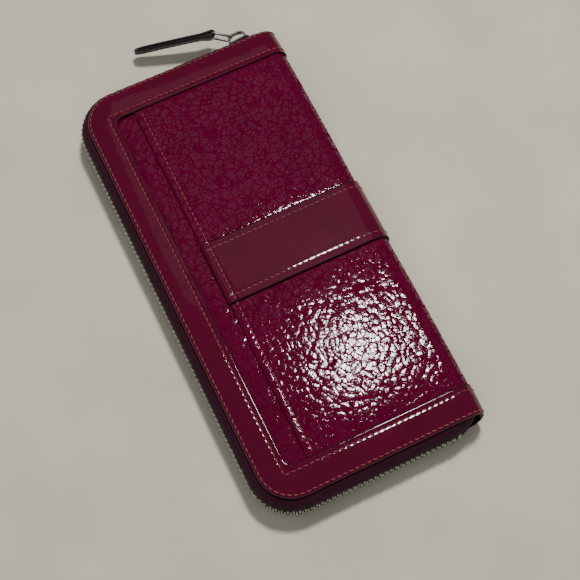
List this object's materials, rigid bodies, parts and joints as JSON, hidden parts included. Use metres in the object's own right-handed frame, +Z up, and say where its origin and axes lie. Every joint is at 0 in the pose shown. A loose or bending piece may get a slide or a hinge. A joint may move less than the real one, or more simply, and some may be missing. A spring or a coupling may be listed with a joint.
{
  "type": "long wallet",
  "caption": "Long zip-around leather wallet with a strap round the middle, card pockets, two note compartments, a zipped coin pouch and a leather zip pull.",
  "frame": {"origin": "centre of the flat rest face under the back, at mid-length and mid-width of the trim", "axes": "+X from the zip side to the spine, +Y along the spine to the end where the closed slider stops, +Z up through the thickness"},
  "size_m": [0.1023, 0.2331, 0.022],
  "materials": {
    "crinkle_leather": "crinkled patent",
    "smooth_leather": "smooth patent",
    "card_leather": "satin",
    "lining": "woven",
    "board": "matte board",
    "tape": "woven twill",
    "zip_metal": "polished",
    "tab_leather": "satin"
  },
  "bodies": {
    "back": {"back_cover": "crinkle_leather", "back_stiffener": "board", "back_lining": "lining", "back_card_panel_1": "card_leather", "back_card_panel_2": "card_leather", "back_card_panel_3": "card_leather", "back_trim_top": "smooth_leather", "back_trim_side": "smooth_leather", "back_trim_bottom": "smooth_leather", "back_strap": "smooth_leather", "zip_tape_lower": "tape", "zip_teeth_lower": "zip_metal", "zip_stops_lower": "zip_metal", "gusset_lower_top": "lining", "gusset_lower_bottom": "lining"},
    "middle": {"spine_cover": "crinkle_leather", "spine_lining": "lining", "spine_strap": "smooth_leather", "spine_trim_top": "smooth_leather", "spine_trim_bottom": "smooth_leather", "pouch_lower_wall": "card_leather", "pouch_upper_wall": "card_leather", "pouch_band": "lining", "coin_zip_tape": "tape", "coin_zip_teeth": "zip_metal", "coin_zip_stops": "zip_metal"},
    "front": {"front_cover": "crinkle_leather", "slip_pocket_panel": "crinkle_leather", "front_stiffener": "board", "front_lining": "lining", "front_card_panel_1": "card_leather", "front_card_panel_2": "card_leather", "front_card_panel_3": "card_leather", "front_trim_top": "smooth_leather", "front_trim_side": "smooth_leather", "front_trim_bottom": "smooth_leather", "front_strap": "smooth_leather", "zip_tape_upper": "tape", "zip_teeth_upper": "zip_metal", "zip_stops_upper": "zip_metal", "gusset_upper_top": "lining", "gusset_upper_bottom": "lining"},
    "slider": {"zip_slider": "zip_metal"},
    "link": {"pull_link": "zip_metal"},
    "tab": {"pull_tab": "tab_leather"},
    "coin_slider": {"coin_slider": "zip_metal"},
    "coin_pull": {"coin_pull": "zip_metal"}
  },
  "joints": [
    {"name": "lower_fold", "type": "hinge", "parent": "back", "child": "middle", "pos_m": [0.0494, 0, 0.008], "axis": [0, 1, 0], "range_deg": [0, 30]},
    {"name": "upper_fold", "type": "hinge", "parent": "middle", "child": "front", "pos_m": [0.0494, 0, 0.014], "axis": [0, 1, 0], "range_deg": [0, 35]},
    {"name": "slider_slide", "type": "slide", "parent": "back", "child": "slider", "axis": [-1, 0, 0], "range_m": [0, 0.05]},
    {"name": "link_swing", "type": "hinge", "parent": "slider", "child": "link", "pos_m": [0.03065, 0.10987, 0.011], "axis": [0, 0.3746, -0.9272], "range_deg": [-15, 100]},
    {"name": "tab_swing", "type": "hinge", "parent": "link", "child": "tab", "pos_m": [0.02277, 0.11461, 0.01292], "axis": [0, 0.3746, -0.9272], "range_deg": [-2, 45]},
    {"name": "coin_slider_slide", "type": "slide", "parent": "middle", "child": "coin_slider", "axis": [0, -1, 0], "range_m": [0, 0.15]},
    {"name": "coin_pull_swing", "type": "hinge", "parent": "coin_slider", "child": "coin_pull", "pos_m": [-0.03565, 0.075, 0.0105], "axis": [0, 0, -1], "range_deg": [0, 170]}
  ]
}
